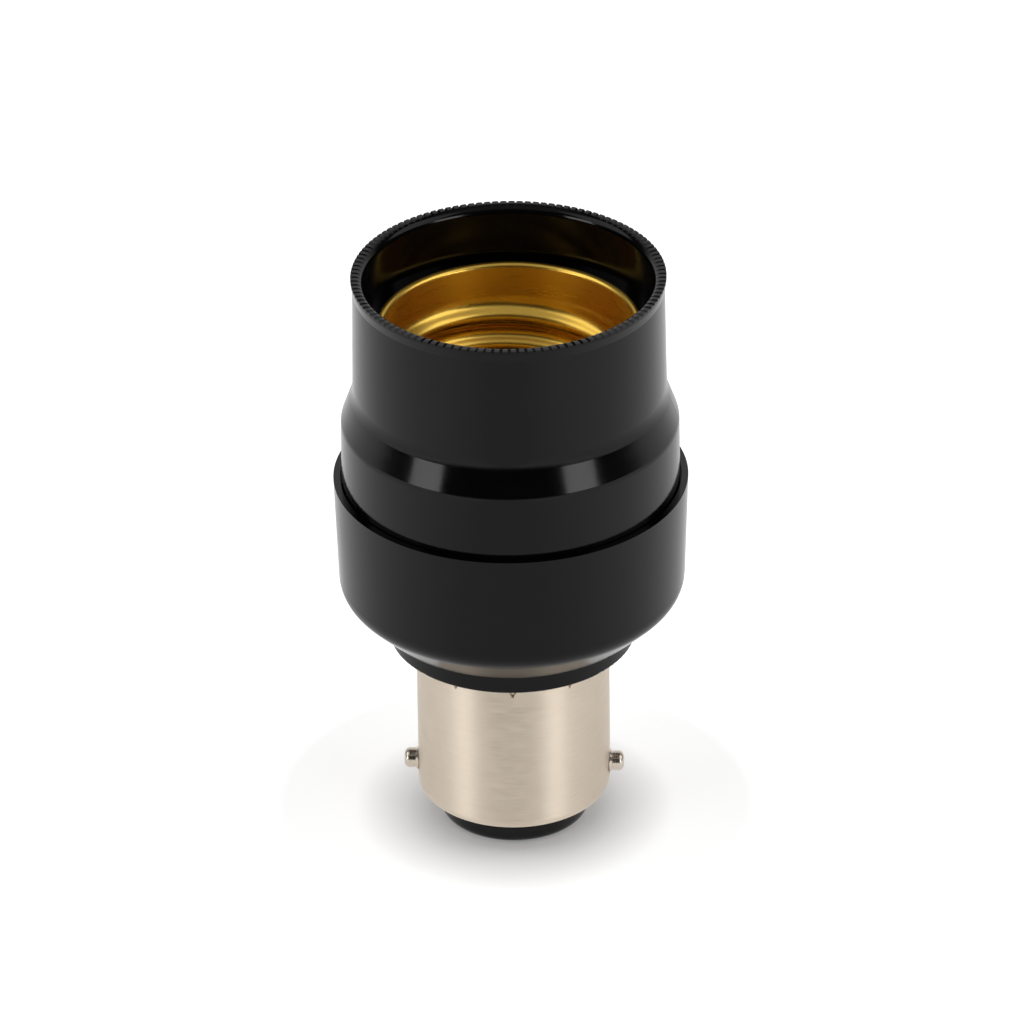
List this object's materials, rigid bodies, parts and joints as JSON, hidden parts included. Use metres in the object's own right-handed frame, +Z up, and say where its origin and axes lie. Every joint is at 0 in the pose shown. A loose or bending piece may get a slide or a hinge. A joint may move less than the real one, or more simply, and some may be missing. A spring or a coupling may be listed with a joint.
{
  "type": "lamp holder adapter",
  "caption": "Lamp holder adapter with a twist-lock bayonet cap below and a screw lamp socket above, in a black moulded cup and sleeve.",
  "frame": {"origin": "centre of the foot's flat bottom face, on the holder's axis", "axes": "+Z up along the holder's axis to the lamp's mouth, X through the bayonet pins, -Y to the front"},
  "size_m": [0.04, 0.04, 0.0693],
  "materials": {
    "black_moulding": "glossy black moulding",
    "brown_moulding": "dull dark brown moulding",
    "brass": "bright rolled brass",
    "satin_nickel": "satin nickel plate, warm tone",
    "bright_nickel": "bright nickel plate",
    "solder": "dull grey solder",
    "lead_brown": "brown wire insulation",
    "lead_blue": "blue wire insulation"
  },
  "bodies": {
    "base": {"lower_cup": "black_moulding", "base_insulator": "black_moulding", "contact_block": "brown_moulding", "contact_rivets": "brass", "live_tag": "brass", "neutral_tag": "brass", "live_base_contact": "brass", "neutral_base_contact": "brass", "live_lead": "lead_brown", "neutral_lead": "lead_blue", "tag_solder": "solder", "base_solder": "solder", "bayonet_cap": "satin_nickel", "bayonet_pin_left": "bright_nickel", "bayonet_pin_right": "bright_nickel"},
    "sleeve": {"upper_sleeve": "black_moulding"},
    "shell": {"screw_shell": "brass"},
    "centre_spring": {"centre_contact": "brass"},
    "side_spring": {"side_contact": "brass"}
  },
  "joints": [
    {"name": "shell_rise", "type": "slide", "parent": "base", "child": "shell", "axis": [0, 0, 1], "range_m": [0, 0.0036]},
    {"name": "sleeve_turn", "type": "hinge", "parent": "shell", "child": "sleeve", "pos_m": [0, 0, 0.04], "axis": [0, 0, 1], "range_deg": [0, 540]},
    {"name": "centre_contact_flex", "type": "hinge", "parent": "base", "child": "centre_spring", "pos_m": [0.01077, 0, 0.0383], "axis": [0, -1, 0], "range_deg": [0, 3.7], "stiffness_Nm_per_rad": 0.02},
    {"name": "side_contact_flex", "type": "hinge", "parent": "base", "child": "side_spring", "pos_m": [-0.0065, 0, 0.0383], "axis": [0, -1, 0], "range_deg": [0, 2], "stiffness_Nm_per_rad": 0.02}
  ],
  "couplings": [
    {"joint": "shell_rise", "follows": "sleeve_turn", "m_per_rad": 0.00038197}
  ]
}
